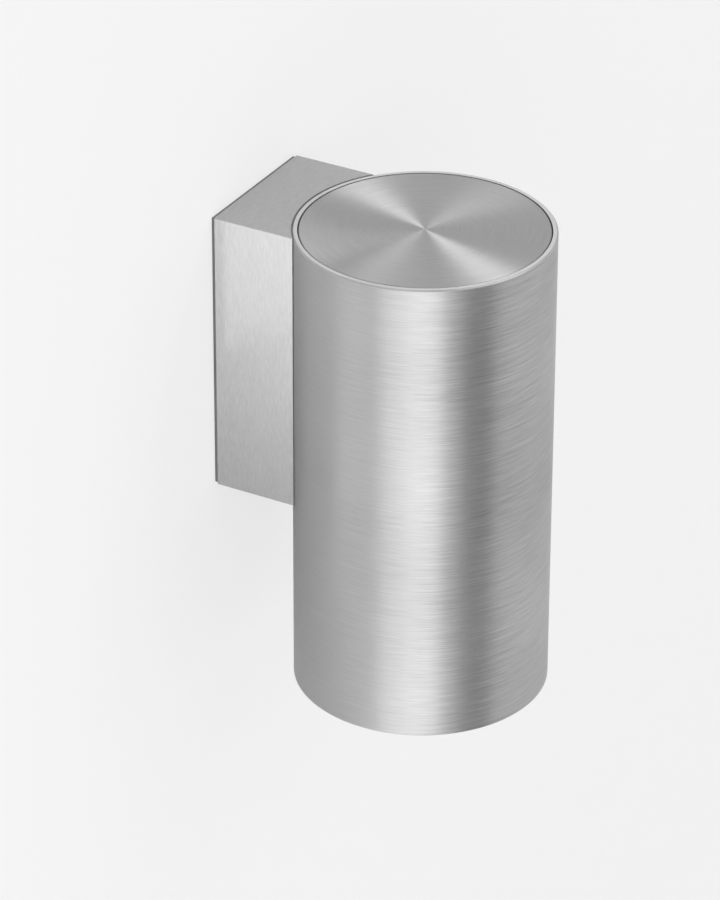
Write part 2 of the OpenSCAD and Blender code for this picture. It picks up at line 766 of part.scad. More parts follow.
// Curved reflector from the LED down to the glass seat
module reflector() {
    steps = 10;
    neck_r = aperture_r;
    inner = [for (i = [0:steps]) let (s = i / steps)
        [neck_r + (mouth_r - neck_r) * pow(s, 0.65), holder_z - s * reflector_h]];
    outer = [for (i = [steps - 1:-1:0]) inner[i] + [reflector_wall, 0]];
    rim = [[mouth_r + reflector_wall + 2, reflector_z], [mouth_r + reflector_wall + 2, reflector_z + 1],
        [mouth_r + reflector_wall * 0.6, reflector_z + 1]];
    color("silver") on_axis() rotate_extrude() polygon(concat(inner, rim, outer));
}

// Ring bonded into the tube, which the glass is pressed up to
module glass_seat() {
    color(aluminium) ring(strip_r, ring_inner_r, glass_seat_z, glass_seat_t);
}

module glass_gasket() {
    color(dark_rubber) ring(glass_r, ring_inner_r + 0.5, glass_gasket_z, glass_gasket_t);
}

module glass() {
    color([0.85, 0.93, 0.95, 0.5]) on_axis(glass_z) cylinder(r = glass_r, h = glass_t);
}

// Threaded ring that holds the glass, with notches for a pin key
module retaining_ring() {
    color(aluminium) difference() {
        ring(ring_r, ring_inner_r, ring_z, ring_h);
        on_axis(ring_z - cut) for (i = [0:2]) rotate(i * 120)
            translate([ring_inner_r - cut, -notch_w / 2, 0]) cube([ring_w / 2 + cut, notch_w, notch_d + cut]);
    }
}

wall_bracket();
cable_grommet();
bracket_earth_screw();
wall_box();
wall_gasket();
grub_screws();
saddle_gasket();
fixing_screws();
wire_bush();
terminal_block();
terminal_clamps();
terminal_screws();
live_core();
neutral_core();
earth_core();
earth_tag();
earth_screw();
tube();
lid();
lid_gasket();
lid_seat();
lid_screws();
chassis();
driver();
driver_screws();
heat_sink();
heat_sink_screws();
led_board();
led_emitter();
led_holder();
holder_screws();
positive_lead();
negative_lead();
reflector();
glass_seat();
glass_gasket();
glass();
retaining_ring();
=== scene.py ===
import math

import bmesh
import bpy
from mathutils import Matrix, Vector


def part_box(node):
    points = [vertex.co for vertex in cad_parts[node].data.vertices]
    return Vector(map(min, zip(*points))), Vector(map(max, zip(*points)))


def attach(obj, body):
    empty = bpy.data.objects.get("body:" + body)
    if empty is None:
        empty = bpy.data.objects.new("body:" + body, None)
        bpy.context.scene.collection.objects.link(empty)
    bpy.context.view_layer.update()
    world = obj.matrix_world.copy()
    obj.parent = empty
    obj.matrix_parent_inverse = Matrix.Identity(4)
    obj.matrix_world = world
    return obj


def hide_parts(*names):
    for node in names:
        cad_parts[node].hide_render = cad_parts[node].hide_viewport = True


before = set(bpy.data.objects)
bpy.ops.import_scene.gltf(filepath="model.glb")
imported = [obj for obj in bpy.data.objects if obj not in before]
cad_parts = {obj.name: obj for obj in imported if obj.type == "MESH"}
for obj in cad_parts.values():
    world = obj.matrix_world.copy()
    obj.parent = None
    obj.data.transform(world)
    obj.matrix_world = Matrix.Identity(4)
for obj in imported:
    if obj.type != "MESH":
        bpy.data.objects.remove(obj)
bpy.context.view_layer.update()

# Camera
# A long lens to the left of the light and above it, as the photograph was taken. The place and the lens come
# from fitting the tube's two rims, its sides and the box's edges to the photograph's outline.
LENS_MM = 194.765
SENSOR_MM = 36.0
CAMERA_TURN = math.radians(-60.636)
CAMERA_RISE = math.radians(29.417)
CAMERA_ROLL = math.radians(0.182)
CAMERA_AWAY = 1.6418
CAMERA_RIGHT = -0.02197
CAMERA_UP = -0.07444
SIGHT_FROM = 0.05
SIGHT_TO = 20.0
TUBE_TOP = Vector((0.0, -0.0675, 0.052))

level_right = Vector((math.cos(CAMERA_TURN), math.sin(CAMERA_TURN), 0.0))
backwards = Vector((math.sin(CAMERA_TURN) * math.cos(CAMERA_RISE),
                    -math.cos(CAMERA_TURN) * math.cos(CAMERA_RISE),
                    math.sin(CAMERA_RISE)))
level_up = backwards.cross(level_right)
image_right = level_right * math.cos(CAMERA_ROLL) + level_up * math.sin(CAMERA_ROLL)
image_up = level_up * math.cos(CAMERA_ROLL) - level_right * math.sin(CAMERA_ROLL)

lens = bpy.data.cameras.new("studio_camera")
lens.lens = LENS_MM
lens.sensor_width = SENSOR_MM
lens.clip_start = SIGHT_FROM
lens.clip_end = SIGHT_TO
camera = bpy.data.objects.new("studio_camera", lens)
turned = Matrix((image_right, image_up, backwards)).transposed().to_4x4()
place = TUBE_TOP + backwards * CAMERA_AWAY + image_right * CAMERA_RIGHT + image_up * CAMERA_UP
camera.matrix_world = Matrix.Translation(place) @ turned
bpy.context.scene.collection.objects.link(camera)
bpy.context.scene.camera = camera
bpy.context.scene.view_settings.view_transform = "Standard"

# Backdrop
# One sheet of pale card: the wall that the light hangs on and, round a wide bend far below, the floor. It
# shows from its front alone, so the light can also be looked at from behind and from below. Metal mirrors it
# partly evenly lit, except in a round patch behind and below the tube. That patch is painted shade: there
# metal mirrors only the card's own lit shading, which is darker.
CARD_TONE = 0.9
CARD_FLECK = 0.006
CARD_SEEN_TONE = 0.912
CARD_EVENNESS = 0.72
CARD_IN_METAL = 0.46
PAINTED_SHADE_IN_METAL = 0.0
PAINTED_SHADE_CENTRE = (-0.03, 0.0, -0.18)
PAINTED_SHADE_FROM = 0.06
PAINTED_SHADE_TO = 0.26
CARD_HALF_WIDTH = 2.2
CARD_TOP = 1.3
FLOOR_LEVEL = -0.75
FLOOR_DEPTH = -2.6
BEND_RADIUS = 0.3
BEND_STEPS = 16


def add(tree, kind, sockets=(), **options):
    """Puts a shader node in a tree, with its options, and joins or sets the sockets that are named."""
    made = tree.nodes.new(kind)
    for option, value in options.items():
        setattr(made, option, value)
    for socket, value in dict(sockets).items():
        if isinstance(value, bpy.types.NodeSocket):
            tree.links.new(value, made.inputs[socket])
        else:
            made.inputs[socket].default_value = value
    return made


def here(tree):
    """Place on the piece itself, which stays with it as it moves."""
    return add(tree, "ShaderNodeTexCoord").outputs["Object"]


def maths(tree, operation, *values):
    """Result of an operation on numbers."""
    return add(tree, "ShaderNodeMath", dict(enumerate(values)), operation=operation).outputs[0]


def vector_maths(tree, operation, *values):
    """Result of an operation on vectors: a number for the three named here, else a vector."""
    result = "Value" if operation in ("DISTANCE", "LENGTH", "DOT_PRODUCT") else "Vector"
    return add(tree, "ShaderNodeVectorMath", dict(enumerate(values)), operation=operation).outputs[result]


def blend_of(tree, share, dark, light):
    """Colour that runs from dark to light with the share. Sockets 6 and 7 of a mix node take its colours."""
    return add(tree, "ShaderNodeMix", {0: share, 6: dark, 7: light}, data_type="RGBA").outputs[2]


def span_of(tree, value, low, high, start=0.0, end=1.0, **options):
    """Number that runs from low to high while the value runs from start to end."""
    sockets = {"Value": value, "From Min": start, "From Max": end, "To Min": low, "To Max": high}
    return add(tree, "ShaderNodeMapRange", sockets, **options).outputs[0]


def grey(tone):
    """Colour without a hue."""
    return (tone, tone, tone, 1.0)


def new_finish(name, fixed):
    """A material with one shader, whose fixed values stand on its own sockets."""
    finish = bpy.data.materials.new(name)
    finish.use_nodes = True
    shader = finish.node_tree.nodes["Principled BSDF"]
    for socket, value in fixed.items():
        shader.inputs[socket].default_value = value
    return finish, finish.node_tree, shader


def card_finish():
    """Pale card, evenly lit in part: where it is looked at, and as metal mirrors it. Clear from behind."""
    finish, tree, shader = new_finish("pale_card", {"Roughness": 0.9, "Specular IOR Level": 0.1})
    fibre = add(tree, "ShaderNodeTexNoise", {"Vector": here(tree), "Scale": 900.0, "Detail": 3.0}).outputs[0]
    tone = blend_of(tree, fibre, grey(CARD_TONE - CARD_FLECK), grey(CARD_TONE + CARD_FLECK))
    tree.links.new(tone, shader.inputs["Base Color"])
    ray = add(tree, "ShaderNodeLightPath").outputs
    seen = maths(tree, "MAXIMUM", ray["Is Camera Ray"], ray["Is Transmission Ray"])
    # Painted shade: near this point the even glow fades out of the mirror image, so metal mirrors a darker
    # card there.
    apart = vector_maths(tree, "DISTANCE", here(tree), PAINTED_SHADE_CENTRE)
    share = span_of(tree, apart, PAINTED_SHADE_IN_METAL, CARD_IN_METAL, PAINTED_SHADE_FROM, PAINTED_SHADE_TO,
                    interpolation_type="SMOOTHSTEP")
    mirrored = maths(tree, "MULTIPLY", ray["Is Glossy Ray"], share)
    even = maths(tree, "MULTIPLY_ADD", seen, CARD_EVENNESS, mirrored)
    glow = add(tree, "ShaderNodeEmission", {"Color": grey(CARD_SEEN_TONE)}).outputs[0]
    front = add(tree, "ShaderNodeMixShader", {0: even, 1: shader.outputs[0], 2: glow}).outputs[0]
    behind = add(tree, "ShaderNodeNewGeometry").outputs["Backfacing"]
    clear = add(tree, "ShaderNodeBsdfTransparent").outputs[0]
    shown = add(tree, "ShaderNodeMixShader", {0: behind, 1: front, 2: clear}).outputs[0]
    tree.links.new(shown, tree.nodes["Material Output"].inputs["Surface"])
    return finish


def new_sheet(name, corners, faces, finish):
    """Sheet of card or board for the studio."""
    shape = bpy.data.meshes.new(name)
    shape.from_pydata(corners, [], faces)
    shape.polygons.foreach_set("use_smooth", [True] * len(faces))
    shape.materials.append(finish)
    sheet = bpy.data.objects.new(name, shape)
    bpy.context.scene.collection.objects.link(sheet)
    return sheet


bend = [(BEND_RADIUS * (math.cos(turn) - 1), FLOOR_LEVEL + BEND_RADIUS * (1 - math.sin(turn)))
        for turn in (math.radians(90.0 * step / BEND_STEPS) for step in range(BEND_STEPS + 1))]
sweep = [(0.0, CARD_TOP)] + bend + [(FLOOR_DEPTH, FLOOR_LEVEL)]
card_corners = [(x, y, z) for y, z in sweep for x in (-CARD_HALF_WIDTH, CARD_HALF_WIDTH)]
card_faces = [(2 * i, 2 * i + 2, 2 * i + 3, 2 * i + 1) for i in range(len(sweep) - 1)]
card = new_sheet("pale_card", card_corners, card_faces, card_finish())

# Studio light
# A pale room, a tall soft light and a high one for everything, and a grey board that gives the tube its dark
# stripe. The other lamps light the tube, the box or the lid alone. They stand for what the room and the wall
# mirror in each.
ROOM_TONE = 0.93
TUBE_AXIS = Vector((0.0, -0.0675, -0.03))
LAMP_AWAY = 0.6
WALL_GAP = 0.004
BOARD_DARK = 0.155
BOARD_LIGHT = 0.19
BOARD_TURNS = (31.0, 60.0)
BOARD_AWAY = 0.9
BOARD_HEIGHT = 0.9


def soft_light(name, spot, aim, width, height, brightness):
    """Rectangular light that glows evenly, aimed at a point."""
    lamp = bpy.data.lights.new(name, "AREA")
    lamp.shape = "RECTANGLE"
    lamp.size = width
    lamp.size_y = height
    lamp.energy = brightness * math.pi * width * height
    stand = bpy.data.objects.new(name, lamp)
    stand.location = spot
    stand.rotation_euler = (Vector(aim) - Vector(spot)).to_track_quat("-Z", "Y").to_euler()
    stand.visible_camera = False
    bpy.context.scene.collection.objects.link(stand)
    return stand


def room_point(turn, away, level):
    """Point at a turn to the right of the camera, seen from the tube, and at a distance from its axis."""
    across = CAMERA_TURN + math.radians(turn)
    return Vector((math.sin(across) * away, TUBE_AXIS.y - math.cos(across) * away, level))


def light_in_room(name, turn, level, **panel):
    """Upright soft light that faces the tube's axis."""
    return soft_light(name, room_point(turn, LAMP_AWAY, level), room_point(turn, 0.0, level), **panel)


def light_on_wall(name, x, z, **panel):
    """Soft light flat on the wall, which shines straight away from it."""
    return soft_light(name, (x, -WALL_GAP, z), (x, -WALL_GAP - 1.0, z), **panel)


def light_alone(title, *lamps):
    """Collection whose pieces alone are lit by these lamps."""
    alone = bpy.data.collections.new(title)
    for lamp in lamps:
        lamp.light_linking.receiver_collection = alone
    return alone


room = bpy.data.worlds.new("pale_room")
room.use_nodes = True
room.node_tree.nodes["Background"].inputs["Color"].default_value = grey(ROOM_TONE)
bpy.context.scene.world = room

light_in_room("tall_light", turn=-1.2, level=-0.2, width=0.343, height=0.9, brightness=1.38)
soft_light("high_light", (0.45, -0.20, 0.82), TUBE_TOP, width=0.34, height=0.26, brightness=6.6)
fill_light = light_in_room("fill_light", turn=-27.5, level=-0.3, width=0.2, height=0.9, brightness=0.97)
low_light = soft_light("low_light", (-0.22, -0.03, -0.03), (0.0, -0.03, -0.03), width=0.05, height=0.16,
                       brightness=7.0)
tube_glow = light_on_wall("tube_glow", x=-0.15, z=0.0, width=0.12, height=0.16, brightness=0.22)
box_glow = light_on_wall("box_glow", x=-0.09, z=0.07, width=0.12, height=0.14, brightness=0.38)
lid_glow = light_on_wall("lid_glow", x=0.06, z=0.162, width=0.1, height=0.06, brightness=1.3)
lid_low_glow = light_on_wall("lid_low_glow", x=0.0, z=0.09, width=0.06, height=0.04, brightness=0.66)
tube_alone = light_alone("tube_alone", fill_light, tube_glow)
box_alone = light_alone("box_alone", low_light, box_glow)
lid_alone = light_alone("lid_alone", lid_glow, lid_low_glow)


def board_finish():
    """Grey card with a faint cloud of tone."""
    finish, tree, shader = new_finish("grey_board", {"Roughness": 0.9})
    fibre = add(tree, "ShaderNodeTexNoise", {"Vector": here(tree), "Scale": 60.0}).outputs[0]
    tree.links.new(blend_of(tree, fibre, grey(BOARD_DARK), grey(BOARD_LIGHT)), shader.inputs["Base Color"])
    return finish


board_feet = [room_point(turn, BOARD_AWAY, FLOOR_LEVEL) for turn in BOARD_TURNS]
board_heads = [foot + Vector((0.0, 0.0, BOARD_HEIGHT)) for foot in reversed(board_feet)]
board = new_sheet("grey_board", board_feet + board_heads, [(0, 1, 2, 3)], board_finish())
board.visible_camera = False

# Wall bracket
# Steel sheet bent to a plate with an upper and a lower flange, zinc plated. Two slots for the wall screws, a
# hole for the supply cable and a tapped hole for the earth screw.
ZINC_DARK = (0.40, 0.41, 0.43, 1.0)
ZINC_LIGHT = (0.60, 0.61, 0.62, 1.0)
METAL = {"Metallic": 1.0}
WELD = 1e-6
FLAT_ANGLE = math.radians(0.4)
EASED_ANGLE = math.radians(25.0)
NOISE_LOW = 0.3
NOISE_HIGH = 0.7
GRAINS_IN_CLOUD = 40.0


def eased(node, name, ease, steps=2):
    """The solid of a node as a new piece: its flat faces made whole, and its edges eased."""
    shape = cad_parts[node].data.copy()
    shape.name = name
    for spare in ("custom_normal", "sharp_edge", "sharp_face"):
        if spare in shape.attributes:
            shape.attributes.remove(shape.attributes[spare])
    solid = bmesh.new()
    solid.from_mesh(shape)
    bmesh.ops.remove_doubles(solid, verts=solid.verts, dist=WELD)
    bmesh.ops.dissolve_limit(solid, angle_limit=FLAT_ANGLE, verts=solid.verts, edges=solid.edges)
    for face in solid.faces:
        face.smooth = True
    solid.to_mesh(shape)
    solid.free()
    shape.materials.clear()
    piece = bpy.data.objects.new(name, shape)
    bpy.context.scene.collection.objects.link(piece)
    bevel = piece.modifiers.new("eased_edges", "BEVEL")
    bevel.limit_method = "ANGLE"
    bevel.angle_limit = EASED_ANGLE
    bevel.width = ease
    bevel.segments = steps
    bevel.use_clamp_overlap = True
    bevel.harden_normals = True
    return piece


def fit(piece, node, body, slot, *finishes):
    """Gives a piece its finishes, hides the node it stands for and hangs the piece on the body that carries
    it.
    """
    for finish in finishes:
        piece.data.materials.append(finish)
    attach(piece, body)
    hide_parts(node)


def new_effect(name, takes, gives):
    """Group of shader nodes that several finishes share, with its named inputs and outputs."""
    group = bpy.data.node_groups.new(name, "ShaderNodeTree")
    for title, value in takes.items():
        kind = "NodeSocketFloat" if isinstance(value, float) else "NodeSocketVector"
        group.interface.new_socket(title, in_out="INPUT", socket_type=kind).default_value = value
    for title in gives:
        group.interface.new_socket(title, in_out="OUTPUT", socket_type="NodeSocketFloat")
    return group, group.nodes.new("NodeGroupInput").outputs, group.nodes.new("NodeGroupOutput").inputs


def use_effect(tree, group, sockets):
    """Puts a shared group in a material with its own values."""
    return add(tree, "ShaderNodeGroup", sockets, node_tree=group).outputs


# Soft clouds of tone, as handling and rolling leave them on any surface
CLOUDS, taken, given = new_effect("Soft clouds", {"Place": (0.0, 0.0, 0.0), "Size": 30.0}, ("Share",))
cloud = add(CLOUDS, "ShaderNodeTexNoise", {"Vector": taken["Place"], "Scale": taken["Size"], "Detail": 3.0})
CLOUDS.links.new(span_of(CLOUDS, cloud.outputs[0], 0.0, 1.0, NOISE_LOW, NOISE_HIGH), given["Share"])

# Fine pebbles, as in sprayed zinc, rubber and moulded plastic
PEBBLES, taken, given = new_effect("Fine pebbles", {"Place": (0.0, 0.0, 0.0), "Grain": 2000.0},
                                   ("Height", "Share"))
grained = {"Vector": taken["Place"], "Scale": taken["Grain"]}
pebble = add(PEBBLES, "ShaderNodeTexVoronoi", grained, feature="SMOOTH_F1")
speck = add(PEBBLES, "ShaderNodeTexNoise", {**grained, "Detail": 2.0})
PEBBLES.links.new(pebble.outputs["Distance"], given["Height"])
PEBBLES.links.new(span_of(PEBBLES, speck.outputs[0], 0.0, 1.0, NOISE_LOW, NOISE_HIGH), given["Share"])


def relief(tree, shader, height, depth):
    """Fine relief of that depth in metres."""
    bump = add(tree, "ShaderNodeBump", {"Height": height, "Distance": depth, "Strength": 1.0})
    tree.links.new(bump.outputs[0], shader.inputs["Normal"])


def speckled(name, dark, light, smooth, rough, grain, depth, fixed):
    """Finish with fine pebbles and soft clouds: plated, moulded or rubber. Grain is in pebbles to a metre."""
    finish, tree, shader = new_finish(name, fixed)
    pebbles = use_effect(tree, PEBBLES, {"Place": here(tree), "Grain": grain})
    clouds = use_effect(tree, CLOUDS, {"Place": here(tree), "Size": grain / GRAINS_IN_CLOUD})
    share = maths(tree, "MULTIPLY", pebbles["Share"], clouds["Share"])
    tree.links.new(blend_of(tree, share, dark, light), shader.inputs["Base Color"])
    tree.links.new(span_of(tree, clouds["Share"], smooth, rough), shader.inputs["Roughness"])
    relief(tree, shader, pebbles["Height"], depth)
    return finish


zinc_plating = speckled("zinc_plating", ZINC_DARK, ZINC_LIGHT, smooth=0.32, rough=0.46, grain=900.0,
                        depth=0.00001, fixed=METAL)
fit(eased("wall_bracket", "bent_bracket", ease=0.00035), "wall_bracket", "wall_plate", "zinc_plated_steel",
    zinc_plating)

# Cable grommet and wire bush
# Soft black rubber rings: one in the bracket for the supply cable, one from the box into the tube for the
# light's own cores. Moulded, pressed into their holes and held by their flanges.
RUBBER_DARK = (0.012, 0.012, 0.013, 1.0)
RUBBER_LIGHT = (0.030, 0.030, 0.031, 1.0)
RUBBER = {"Specular IOR Level": 0.35}

black_rubber = speckled("black_rubber", RUBBER_DARK, RUBBER_LIGHT, smooth=0.62, rough=0.8, grain=3000.0,
                        depth=0.00003, fixed=RUBBER)
fit(eased("cable_grommet", "rubber_grommet", ease=0.0004, steps=3), "cable_grommet", "wall_plate",
    "black_rubber", black_rubber)
fit(eased("wire_bush", "rubber_bush", ease=0.0003, steps=3), "wire_bush", "lamp", "black_rubber",
    black_rubber)

# Brass screws and clamps
# The two earth screws and the clamps of the terminal block, turned from brass.
BRASS_DARK = (0.52, 0.34, 0.11, 1.0)
BRASS_LIGHT = (0.74, 0.52, 0.20, 1.0)


def dress(finish, *nodes):
    """Gives CAD nodes a finish."""
    for node in nodes:
        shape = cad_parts[node].data
        shape.materials.clear()
        shape.materials.append(finish)


brass = speckled("turned_brass", BRASS_DARK, BRASS_LIGHT, smooth=0.22, rough=0.38, grain=1200.0,
                 depth=0.000005, fixed=METAL)
dress(brass, "bracket_earth_screw", "earth_screw", "terminal_clamps")

# Wall box
# Box of brushed metal, its lines upright on its sides and its top and bottom only satined. Its front is coped
# to the tube, and its open back slides over the bracket.
SIDE_DARK = 0.375
SIDE_LIGHT = 0.475
LYING_DARK = 0.41
LYING_LIGHT = 0.49
BOX_EASE = 0.00008
LEVEL_FACE = 0.9
BROAD_LINES = 0.1
LINES_LOW = 0.32
LINES_HIGH = 0.68
CLOUDS_IN_LINES = 0.25
MIDDLE = 0.5


def mix_of(tree, share, first, second):
    """Number between two others. Sockets 2 and 3 of a mix node take its numbers."""
    return add(tree, "ShaderNodeMix", {0: share, 2: first, 3: second}).outputs[0]


# Fine lines that a brushing belt or a turning tool leaves, long one way and close together across it
LINES, taken, given = new_effect("Brush lines", {"Place": (0.0, 0.0, 0.0), "Stretch": (20.0, 20.0, 1500.0)},
                                 ("Height", "Share"))
drawn = vector_maths(LINES, "MULTIPLY", taken["Place"], taken["Stretch"])
fine = add(LINES, "ShaderNodeTexNoise", {"Vector": drawn, "Scale": 1.0, "Detail": 4.0, "Roughness": 0.65})
broad = add(LINES, "ShaderNodeTexNoise", {"Vector": drawn, "Scale": 0.22, "Detail": 2.0})
both = mix_of(LINES, BROAD_LINES, fine.outputs[0], broad.outputs[0])
LINES.links.new(both, given["Height"])
LINES.links.new(span_of(LINES, both, 0.0, 1.0, LINES_LOW, LINES_HIGH), given["Share"])


def brushed(name, spot, stretch, dark, light, smooth, rough, depth, spread, turn=0.0, strength=None):
    """Brushed metal. Stretch says how close the lines lie each way, spread how far they draw out a highlight,
    turn its direction, 0 round the upright axis and a quarter across that, and strength how strong the lines
    are from place to place."""
    finish, tree, shader = new_finish(name, {**METAL, "Anisotropic": spread, "Anisotropic Rotation": turn})
    lines = use_effect(tree, LINES, {"Place": spot(tree), "Stretch": stretch})
    clouds = use_effect(tree, CLOUDS, {"Place": here(tree), "Size": 18.0})
    share = mix_of(tree, CLOUDS_IN_LINES, lines["Share"], clouds["Share"])
    if strength:
        share = mix_of(tree, strength(tree), MIDDLE, share)
    tree.links.new(blend_of(tree, share, grey(dark), grey(light)), shader.inputs["Base Color"])
    tree.links.new(span_of(tree, share, smooth, rough), shader.inputs["Roughness"])
    relief(tree, shader, lines["Height"], depth)
    if spread:
        round_axis = add(tree, "ShaderNodeTangent", direction_type="RADIAL", axis="Z")
        tree.links.new(round_axis.outputs[0], shader.inputs["Tangent"])
    return finish


def second_when_level(piece):
    """Leaves a piece's second finish to its level faces."""
    for face in piece.data.polygons:
        face.material_index = int(abs(face.normal.z) > LEVEL_FACE)


box_side = brushed("upright_brushed", here, (1600.0, 1600.0, 280.0), SIDE_DARK, SIDE_LIGHT, smooth=0.44,
                   rough=0.5, depth=0.000003, spread=0.75)
box_lying = brushed("satined", here, (260.0, 900.0, 900.0), LYING_DARK, LYING_LIGHT, smooth=0.42, rough=0.5,
                    depth=0.000003, spread=0.0)
coped_box = eased("wall_box", "coped_box", BOX_EASE)
second_when_level(coped_box)
fit(coped_box, "wall_box", "lamp", "brushed_aluminium", box_side, box_lying)
box_alone.objects.link(coped_box)

# Seals
# Foam frame between box and wall, thin rubber between box and tube, rings under the lid and over the glass.
# Die cut, and held by what they seal. The foam frame's outer sides are pushed out past the box's back edges,
# so that
# # its dark grey shows there as a painted shadow line in the gap between box and wall.
FOAM_AND_SHADOW_DARK = (0.16, 0.16, 0.16, 1.0)
FOAM_AND_SHADOW_LIGHT = (0.22, 0.22, 0.22, 1.0)
SEAL_DARK = (0.20, 0.20, 0.20, 1.0)
SEAL_LIGHT = (0.27, 0.27, 0.27, 1.0)
FOAM_EASE = 0.0002
PAINTED_SHADOW_SWELL = 0.0007
FOAM_OUTSIDE = 0.00001

grey_foam = speckled("grey_foam", FOAM_AND_SHADOW_DARK, FOAM_AND_SHADOW_LIGHT, smooth=0.8, rough=0.95, grain=2600.0, depth=0.00004,
                     fixed={"Specular IOR Level": 0.2})
grey_rubber = speckled("grey_rubber", SEAL_DARK, SEAL_LIGHT, smooth=0.6, rough=0.75, grain=3000.0,
                       depth=0.00003, fixed=RUBBER)
foam_frame = eased("wall_gasket", "foam_frame", FOAM_EASE)
foam_low, foam_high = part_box("wall_gasket")
# Painted shadow: the foam's outer sides pushed out past the box's edges, where its dark grey stands for the
# shadow in the gap.
for vert in foam_frame.data.vertices:
    for axis in (0, 2):
        if vert.co[axis] > foam_high[axis] - FOAM_OUTSIDE:
            vert.co[axis] += PAINTED_SHADOW_SWELL
        elif vert.co[axis] < foam_low[axis] + FOAM_OUTSIDE:
            vert.co[axis] -= PAINTED_SHADOW_SWELL
fit(foam_frame, "wall_gasket", "lamp", "grey_foam", grey_foam)
dress(grey_rubber, "saddle_gasket")
dress(black_rubber, "lid_gasket", "glass_gasket")

# Screws
# Stainless socket screws, turned and a little bright on their heads.
STEEL_DARK = (0.34, 0.34, 0.35, 1.0)
STEEL_LIGHT = (0.55, 0.55, 0.56, 1.0)

stainless = speckled("stainless", STEEL_DARK, STEEL_LIGHT, smooth=0.2, rough=0.34, grain=1500.0,
                     depth=0.000004, fixed=METAL)
dress(stainless, "grub_screws", "fixing_screws", "terminal_screws", "lid_screws", "driver_screws",
      "heat_sink_screws", "holder_screws")

# Terminal block
# Moulded white block for live, neutral and earth, screwed to the land inside the box.
PLASTIC_DARK = (0.70, 0.70, 0.67, 1.0)
PLASTIC_LIGHT = (0.80, 0.80, 0.77, 1.0)
PLASTIC = {"Specular IOR Level": 0.5}

white_plastic = speckled("white_plastic", PLASTIC_DARK, PLASTIC_LIGHT, smooth=0.38, rough=0.5, grain=2500.0,
                         depth=0.00001, fixed=PLASTIC)
fit(eased("terminal_block", "moulded_block", ease=0.0003), "terminal_block", "lamp", "white_plastic",
    white_plastic)

# Cores and leads
# Mains cores from the terminals through the bush to the driver, the earth core to its tag, and two thin leads
# from the driver past the heat sink to the LED. Copper in extruded insulation of one colour each.
INSULATION = {
    "live_core": ("brown_insulation", (0.115, 0.040, 0.016)),
    "neutral_core": ("blue_insulation", (0.012, 0.060, 0.330)),
    "positive_lead": ("red_insulation", (0.380, 0.012, 0.010)),
    "negative_lead": ("black_insulation", (0.012, 0.012, 0.012)),
}
WORN_SHARE = 0.8
INSULATION_SMOOTH = 0.35
INSULATION_ROUGH = 0.5
EARTH_GREEN = (0.05, 0.25, 0.03, 1.0)
EARTH_YELLOW = (0.72, 0.62, 0.03, 1.0)
STRIPE_EDGE = -0.0144

for node, (title, tone) in INSULATION.items():
    worn = tuple(WORN_SHARE * part for part in tone) + (1.0,)
    insulation = speckled(title, worn, tone + (1.0,), INSULATION_SMOOTH, INSULATION_ROUGH, grain=1800.0,
                          depth=0.00001, fixed=PLASTIC)
    dress(insulation, node)


def striped_insulation():
    """Green insulation with one yellow side."""
    finish, tree, shader = new_finish("green_insulation", PLASTIC)
    side = add(tree, "ShaderNodeSeparateXYZ", {0: here(tree)}).outputs["Y"]
    stripe = maths(tree, "GREATER_THAN", side, STRIPE_EDGE)
    tree.links.new(blend_of(tree, stripe, EARTH_GREEN, EARTH_YELLOW), shader.inputs["Base Color"])
    clouds = use_effect(tree, CLOUDS, {"Place": here(tree), "Size": 200.0})
    roughness = span_of(tree, clouds["Share"], INSULATION_SMOOTH, INSULATION_ROUGH)
    tree.links.new(roughness, shader.inputs["Roughness"])
    return finish


dress(striped_insulation(), "earth_core")
dress(zinc_plating, "earth_tag")

# Tube
# Seamless round tube, brushed round and round, with both rims turned bright. It stands against the coped box,
# held by two screws from inside. Its brush lines are strong on one side and fade towards the other.
TUBE_DARK = 0.30
TUBE_LIGHT = 0.665
TUBE_EDGE_TONE = 0.8
BRIGHT_DARK = 0.60
BRIGHT_LIGHT = 0.70
BRUSH_SIDE = Vector((0.49, -0.87, 0.0))
BRUSH_OFF_AXIS = 0.021
BRUSH_NEAR = 0.006
BRUSH_FAR = 0.057
WEAK_LINES = 0.24
STRONG_LINES = 1.0
ACROSS = 0.25
TUBE_EASE = 0.00008
RIM_CHAMFER = 0.0006
RIM_REACH = 0.00008


def chamfer_rims(piece, node):
    """Cuts a chamfer round the outer edges of a tube's two rims."""
    low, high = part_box(node)
    solid = bmesh.new()
    solid.from_mesh(piece.data)
    outer = {vert for vert in solid.verts
             if abs(math.hypot(vert.co.x, vert.co.y - TUBE_AXIS.y) - high[0]) < RIM_REACH
             and min(vert.co.z - low[2], high[2] - vert.co.z) < RIM_REACH}
    rims = [edge for edge in solid.edges if outer.issuperset(edge.verts)]
    bmesh.ops.bevel(solid, geom=rims, offset=RIM_CHAMFER, offset_type="OFFSET", segments=1, affect="EDGES")
    solid.to_mesh(piece.data)
    solid.free()


def brush_strength(tree):
    """How strong the tube's lines are: strongest beside the axis on one side, weakest far from there."""
    aside = vector_maths(tree, "DOT_PRODUCT", here(tree), BRUSH_SIDE)
    strongest = TUBE_AXIS.dot(BRUSH_SIDE) + BRUSH_OFF_AXIS
    apart = maths(tree, "ABSOLUTE", maths(tree, "SUBTRACT", aside, strongest))
    return span_of(tree, apart, STRONG_LINES, WEAK_LINES, BRUSH_NEAR, BRUSH_FAR)


